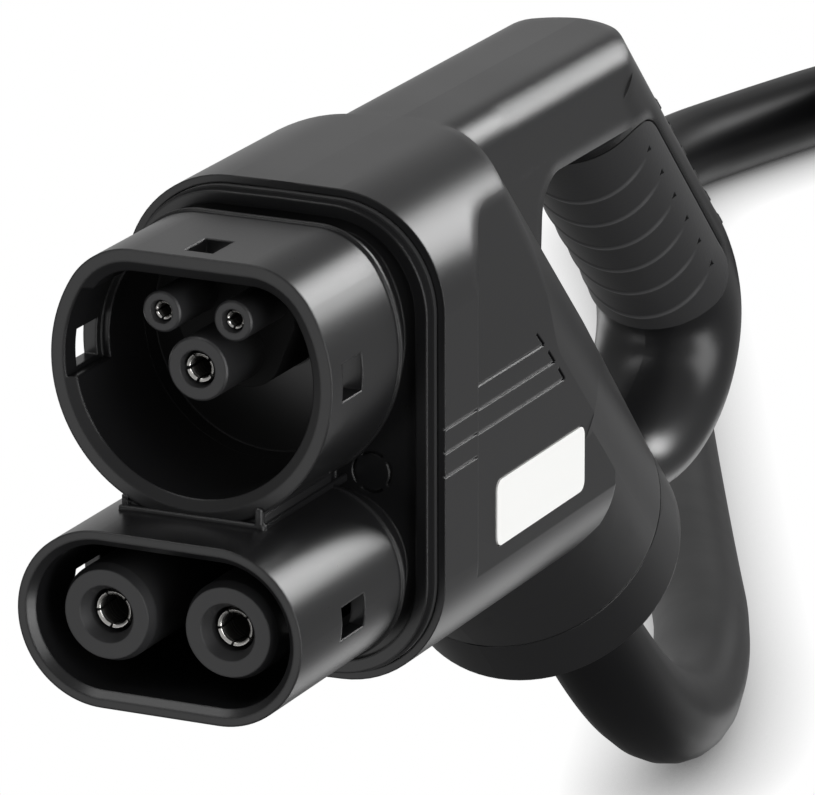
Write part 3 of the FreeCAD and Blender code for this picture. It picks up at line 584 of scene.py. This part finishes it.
def coreInsulation(settings, name, colour):
    # cross-linked core insulation, plain colour with a soft gloss and slight unevenness
    material, tree = newMaterial(name)
    place = addNode(tree, "ShaderNodeTexCoord").outputs["Object"]
    shader = addNode(tree, "ShaderNodeBsdfPrincipled", {"Base Color": hexColour(colour)},
                     {"Roughness": patchyRoughness(tree, place, settings)})
    addNode(tree, "ShaderNodeOutputMaterial", links={"Surface": shader.outputs[0]})
    return material


def dress(material, *names):
    # the finish of CAD nodes that are shown as they are
    for name in names:
        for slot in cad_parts[name].material_slots:
            slot.material = material


polyester = satinPolyester(frameSettings)
rubber = softRubber(rubberSettings)
dress(texturedPolyamide(housingSettings), "housing_right", "housing_left")
dress(polyester, "upper_shroud", "lower_shroud", "flange_plate", "cable_clamp_upper", "cable_clamp_lower")
dress(sleevePolyamide(sleeveSettings), "signal_contact_carrier", "dc_sleeve_right", "dc_sleeve_left")
dress(rubber, "flange_gasket", "cable_grommet")
dress(platedMetal(zincSettings, "zincedSteel"), "housing_screws", "clamp_screws")
dress(platedMetal(tinSettings, "tinnedFerrule"), "open_end_ferrules")
dress(matteFilm(filmSettings), "label_plate")
dress(coreInsulation(coreSettings, "redInsulation", "A32020"), "dc_core_positive")
dress(coreInsulation(coreSettings, "blackInsulation", "202020"), "dc_core_negative", "open_end_cores")
dress(coreInsulation(coreSettings, "greenInsulation", "3F7D2C"), "earth_core")
dress(coreInsulation(coreSettings, "whiteInsulation", "DAD8D2"), "proximity_core", "pilot_core")
cable.data.materials.append(extrudedJacket(jacketSettings))
print("finishes made")


# Contacts: turned tubes whose slotted tips are crimped in
contactSizes = {  # in mm: wall, where the slots end, and the profile as places along Y with outer radius
    "power": {
        "wall": 0.75,
        "slotEnd": 1.0,
        "slotHalf": 3,  # degrees
        "profile": [(-8.4, 3.75), (-8.15, 3.9), (-6.8, 3.96), (-2.0, 4.56), (1.0, 4.7), (22, 4.7), (58, 4.7)],
    },
    "earth": {
        "wall": 0.72,
        "slotEnd": 14.0,
        "slotHalf": 6,
        "profile": [(4.2, 2.92), (4.4, 3.04), (5.6, 3.08), (10.0, 3.5), (14.0, 3.6), (30, 3.6), (58, 3.6)],
    },
    "signal": {
        "wall": 0.5,
        "slotEnd": 13.0,
        "slotHalf": 9,
        "profile": [(4.2, 1.82), (4.35, 1.94), (5.5, 1.96), (10.0, 2.04), (13.0, 2.1), (30, 2.1), (58, 2.1)],
    },
}
contactPlaces = [  # the CAD node it replaces, its size, and X and Z of its axis in mm
    ("dc_positive_socket", "power", 13.5, -48.75),
    ("dc_negative_socket", "power", -13.5, -48.75),
    ("earth_socket", "earth", 0.0, 0.0),
    ("proximity_socket", "signal", 7.9, 10.9),
    ("pilot_socket", "signal", -7.9, 10.9),
]
contactSettings = {
    "fingers": 5,
    "firstSlot": 187.2,  # degrees
    "facets": 100,
    "edge": 0.14 * mm,
    "edgeSteps": 2,
    "edgeAngle": 50,
    "smoothAngle": 35,
}


def makeContact(settings, node, size, x, z, material):
    profile = size["profile"]
    y, radius = profile[0]
    deselectAll()
    bpy.ops.mesh.primitive_circle_add(vertices=settings["facets"], radius=radius * mm, fill_type="NOTHING",
                                      location=(x * mm, y * mm, z * mm), rotation=(math.pi / 2, 0, 0))
    contact = bpy.context.object
    contact.name = node + "_turned"
    placeInMesh(contact)
    bpy.ops.object.mode_set(mode="EDIT")
    bpy.ops.mesh.select_mode(type="VERT")
    bpy.ops.mesh.select_all(action="SELECT")
    for nextY, nextRadius in profile[1:]:
        bpy.ops.mesh.extrude_region_move(TRANSFORM_OT_translate={"value": (0, (nextY - y) * mm, 0)})
        grow = nextRadius / radius
        bpy.ops.transform.resize(value=(grow, 1, grow), center_override=(x * mm, nextY * mm, z * mm))
        y, radius = nextY, nextRadius
    bpy.ops.mesh.edge_face_add()
    bpy.ops.mesh.select_all(action="SELECT")
    bpy.ops.mesh.normals_make_consistent(inside=False)
    bpy.ops.object.mode_set(mode="OBJECT")

    def inSlot(place):
        turn = math.degrees(math.atan2(place.z - z, place.x - x)) - settings["firstSlot"]
        pitch = 360 / settings["fingers"]
        off = (turn + pitch / 2) % pitch - pitch / 2
        return place.y < size["slotEnd"] and abs(off) < size["slotHalf"]

    editFaces(contact, inSlot)
    bpy.ops.mesh.delete(type="FACE")
    bpy.ops.object.mode_set(mode="OBJECT")
    applyModifier(contact, "SOLIDIFY", {"thickness": size["wall"] * mm, "offset": -1,
                                        "use_even_offset": True})
    applyModifier(contact, "BEVEL", {"width": settings["edge"], "segments": settings["edgeSteps"],
                                     "angle_limit": math.radians(settings["edgeAngle"])})
    selectOnly(contact)
    bpy.ops.object.shade_smooth_by_angle(angle=math.radians(settings["smoothAngle"]))
    contact.data.materials.append(material)
    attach(contact, "root")
    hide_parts(node)


powerTip = contactSizes["power"]["profile"][0][0] * mm
signalTip = contactSizes["signal"]["profile"][0][0] * mm  # the earth contact's tip is level with these
powerSilver = silveredCopper(silverSettings, "silveredCopperPower", powerTip)
signalSilver = silveredCopper(silverSettings, "silveredCopperSignal", signalTip)
for node, kind, x, z in contactPlaces:
    silver = powerSilver if kind == "power" else signalSilver
    makeContact(contactSettings, node, contactSizes[kind], x, z, silver)
print("contacts turned")


# Grip pad: a soft skin wrapped round the front of the oval grip, with pressed crescents
gripPadSettings = {  # lengths in mm
    "start": 122.5,  # along the slant
    "end": 192.8,
    "rear": 139.3,  # square to the slant
    "corner": 9.0,
    "ovalCentre": 137.9,
    "ovalWidth": 17.0,  # half of it, as the depth
    "ovalDepth": 15.7,
    "thickness": 2.6,
    "columns": 100,
    "rows": 280,
    "crescents": 6,
    "firstCrescent": 132.4,  # along the slant, at its dimples
    "pitch": 9.9,
    "endTurn": 76.5,  # degrees round from the front where a crescent starts at its dimple
    "drop": 6.2,  # how far a crescent has run down when it is at the front
    "curve": 1.8,  # 1 is a straight run, more is rounder at the front
    "ridgeHeight": 0.25,
    "ridgeHalf": 0.85,
    "ridgeEnd": 0.93,  # share of the way to the dimple where a ridge has sunk into the pad
    "ridgeFade": 0.25,  # share of the way over which it sinks
    "proud": 0.8,  # the lower end stands out a little over the arm
    "proudFrom": 180.0,
    "proudCurve": 1.5,
    "dimpleRadius": 1.0,
    "dimpleDepth": 0.9,
    "edge": 0.35,
    "edgeSteps": 3,
    "edgeAngle": 60,
    "smoothAngle": 45,
}


def ridgeShare(settings, turn, t):
    # 0 between the crescent ridges, 1 along their crests
    share = abs(turn) / settings["endTurn"]
    fade = min(max((settings["ridgeEnd"] - share) / settings["ridgeFade"], 0), 1)
    line = settings["drop"] * (1 - share ** settings["curve"])
    crest = 0
    for i in range(settings["crescents"]):
        off = abs(settings["firstCrescent"] + i * settings["pitch"] + line - t) / settings["ridgeHalf"]
        if off < 1:
            crest = 0.5 + 0.5 * math.cos(math.pi * off)
    return crest * fade


def padPlace(settings, turn):
    # a place on the outside of the oval and the way out of it, x and s
    wide, deep, centre = settings["ovalWidth"], settings["ovalDepth"], settings["ovalCentre"]
    angle = math.radians(turn)
    out = Vector((math.sin(angle) / wide, -math.cos(angle) / deep)).normalized()
    return wide * math.sin(angle), centre - deep * math.cos(angle), out


def makeDimples(settings):
    # three-sided prisms to cut from the pad, one at each end of a crescent and pointing to it
    prisms = []
    for i in range(settings["crescents"]):
        for side in (-1, 1):
            t = settings["firstCrescent"] + i * settings["pitch"]
            x, s, out = padPlace(settings, side * settings["endTurn"])
            middle = slantPoint(x, s, t)
            outward = (slantPoint(x + out.x, s + out.y, t) - middle).normalized()
            forward = (slantPoint(x - side * out.y, s - side * out.x, t) - middle).normalized()
            turn = Matrix((forward.cross(outward), forward, outward)).transposed()
            deselectAll()
            bpy.ops.mesh.primitive_cylinder_add(vertices=3, radius=settings["dimpleRadius"] * mm,
                                                depth=2 * settings["dimpleDepth"] * mm, location=middle,
                                                rotation=turn.to_euler())
            placeInMesh(bpy.context.object)
            prisms.append(bpy.context.object)
    selectOnly(prisms[0])
    for prism in prisms:
        prism.select_set(True)
    bpy.ops.object.join()
    return bpy.context.object


def makeGripPad(settings):
    deselectAll()
    # from -1 to 1 both ways: X becomes the turn round the oval, Y the way down the slant
    bpy.ops.mesh.primitive_grid_add(x_subdivisions=settings["columns"],
                                    y_subdivisions=settings["rows"], size=2)
    pad = bpy.context.object
    pad.name = "gripPad"
    lastTurn = math.degrees(math.acos((settings["ovalCentre"] - settings["rear"]) / settings["ovalDepth"]))
    bend = settings["rear"] - settings["corner"]
    ridge = pad.data.attributes.new("ridge", "FLOAT", "POINT")
    for vertex in pad.data.vertices:
        turn = vertex.co.x * lastTurn
        x, s, out = padPlace(settings, turn)
        inset = 0
        if s > bend:
            inset = settings["corner"] - math.sqrt(max(settings["corner"] ** 2 - (s - bend) ** 2, 0))
        low, high = settings["start"] + inset, settings["end"] - inset
        t = low + (vertex.co.y + 1) / 2 * (high - low)
        crest = ridgeShare(settings, turn, t)
        ridge.data[vertex.index].value = crest
        end = max((t - settings["proudFrom"]) / (settings["end"] - settings["proudFrom"]), 0)
        rise = settings["ridgeHeight"] * crest + settings["proud"] * end ** settings["proudCurve"]
        vertex.co = slantPoint(x + out.x * rise, s + out.y * rise, t)
    editFaces(pad, lambda place: True)  # all faces, since the bent grid faces inwards
    bpy.ops.mesh.flip_normals()
    bpy.ops.object.mode_set(mode="OBJECT")
    applyModifier(pad, "SOLIDIFY", {"thickness": settings["thickness"] * mm, "offset": -1})
    dimples = makeDimples(settings)
    applyModifier(pad, "BOOLEAN", {"operation": "DIFFERENCE", "object": dimples, "solver": "EXACT"})
    bpy.data.objects.remove(dimples)
    applyModifier(pad, "BEVEL", {"width": settings["edge"] * mm, "segments": settings["edgeSteps"],
                                 "angle_limit": math.radians(settings["edgeAngle"])})
    selectOnly(pad)
    bpy.ops.object.shade_smooth_by_angle(angle=math.radians(settings["smoothAngle"]))
    pad.data.materials.append(rubber)
    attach(pad, "root")
    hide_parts("grip_pad")


makeGripPad(gripPadSettings)
print("grip pad wrapped")


# Bead and post on the web: the rounded ledge where it meets the lower shroud
webBeadSettings = {  # lengths in mm
    "boxes": [  # lowest and highest corner: ledge, its two sides, right post
        ((-16.3, -0.9, -31.2), (16.3, 1.2, -29.3)),
        ((14.9, -0.85, -31.2), (16.2, 38.0, -29.4)),
        ((-16.2, -0.85, -31.2), (-14.9, 38.0, -29.4)),
        ((14.1, -0.8, -31.0), (15.8, 1.1, -25.9)),
    ],
    "edge": 0.55,
    "edgeSteps": 4,
    "smoothAngle": 40,
}


def makeRoundedBox(settings, low, high):
    deselectAll()
    middle = (Vector(low) + Vector(high)) / 2 * mm
    bpy.ops.mesh.primitive_cube_add(size=1, location=middle, scale=(Vector(high) - Vector(low)) * mm)
    box = bpy.context.object
    placeInMesh(box)
    applyModifier(box, "BEVEL", {"width": settings["edge"] * mm, "segments": settings["edgeSteps"],
                                 "limit_method": "NONE"})
    return box


def makeWebBead(settings):
    bead, *others = [makeRoundedBox(settings, low, high) for low, high in settings["boxes"]]
    bead.name = "webBead"
    for box in others:
        applyModifier(bead, "BOOLEAN", {"operation": "UNION", "object": box, "solver": "EXACT"})
        bpy.data.objects.remove(box)
    selectOnly(bead)
    bpy.ops.object.shade_smooth_by_angle(angle=math.radians(settings["smoothAngle"]))
    bead.data.materials.append(polyester)
    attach(bead, "root")


makeWebBead(webBeadSettings)
print("web bead added")


# Floor and light
studioSettings = {
    "floorSize": 8.0,
    "floorTone": "FFFFFF",
    "shadowTone": "3A3A3A",
    "shadowReach": 19 * mm,
    "shadowSamples": 16,
    "worldTone": "FFFFFF",
    "worldStrength": 0.3,
    "worldBelow": 0.1,
    "worldChange": (-0.7, -0.32),  # heights between which the strength changes, -1 straight down, 0 level
    "softboxes": [  # direction from the connector, how far and how large in metres, watts
        {"name": "rightRear", "from": (0.34, 0.86, 0.34), "away": 1.6, "size": 0.64, "power": 9.6},
        {"name": "leftRear", "from": (-0.45, 0.86, 0.12), "away": 1.8, "size": 1.2, "power": 1.2},
        {"name": "overhead", "from": (-0.35, -0.27, 0.9), "away": 1.8, "size": 0.9, "power": 6},
        {"name": "rightEdge", "from": (0.86, -0.42, -0.3), "away": 2.0, "size": 0.9, "power": 10},
        {"name": "leftLow", "from": (-0.86, 0.42, -0.25), "away": 2.0, "size": 1.0, "power": 5},
        {"name": "rightFront", "from": (0.95, -0.30, 0.25), "away": 2.4, "size": 1.8, "power": 35},
        {"name": "frontLow", "from": (-0.41, -0.86, -0.29), "away": 2.0, "size": 1.3, "power": 4.2},
        {"name": "lowRear", "from": (0.03, 0.86, -0.5), "away": 1.6, "size": 0.5, "power": 0.8},
    ],
    "aim": (0.0, 0.09, -0.02),
}


def makeFloor(settings):
    # white studio paper, glowing evenly; a contact shadow is painted into it by occlusion where something
    # lies close
    deselectAll()
    bpy.ops.mesh.primitive_plane_add(size=settings["floorSize"], location=(0, 0, cableSettings["floor"]))
    floor = bpy.context.object
    floor.name = "floor"
    material, tree = newMaterial("litStudioPaper")
    clear = addNode(tree, "ShaderNodeAmbientOcclusion",
                    {"samples": settings["shadowSamples"], "Distance": settings["shadowReach"]}).outputs["AO"]
    tone = addNode(tree, "ShaderNodeMix",
                   {"data_type": "RGBA", firstColour: hexColour(settings["shadowTone"]),
                    secondColour: hexColour(settings["floorTone"])}, {"Factor": clear})
    light = addNode(tree, "ShaderNodeEmission", links={"Color": tone.outputs[mixedColour]})
    addNode(tree, "ShaderNodeOutputMaterial", links={"Surface": light.outputs[0]})
    floor.data.materials.append(material)
    # it throws no light and no shadow on the object, and isn't reflected in it
    floor.visible_glossy = False
    floor.visible_diffuse = False
    floor.visible_shadow = False


def makeLights(settings):
    world = bpy.data.worlds.new("studio")
    world.use_nodes = True
    tree = world.node_tree
    background = tree.nodes["Background"]
    background.inputs["Color"].default_value = hexColour(settings["worldTone"])
    way = addNode(tree, "ShaderNodeTexCoord").outputs["Generated"]
    height = addNode(tree, "ShaderNodeSeparateXYZ", links={"Vector": way}).outputs["Z"]
    low, high = settings["worldChange"]
    strength = addNode(tree, "ShaderNodeMapRange",
                       {"From Min": low, "From Max": high, "To Min": settings["worldBelow"],
                        "To Max": settings["worldStrength"]}, {"Value": height}).outputs["Result"]
    tree.links.new(strength, background.inputs["Strength"])
    bpy.context.scene.world = world
    aim = Vector(settings["aim"])
    for box in settings["softboxes"]:
        data = bpy.data.lights.new(box["name"], "AREA")
        data.shape = "SQUARE"
        data.size = box["size"]
        data.energy = box["power"]
        light = bpy.data.objects.new(box["name"], data)
        bpy.context.scene.collection.objects.link(light)
        side = Vector(box["from"]).normalized()
        light.location = aim + side * box["away"]
        light.rotation_euler = side.to_track_quat("Z", "Y").to_euler()


makeFloor(studioSettings)
makeLights(studioSettings)
bpy.context.scene.view_settings.view_transform = "Standard"
print("studio set")
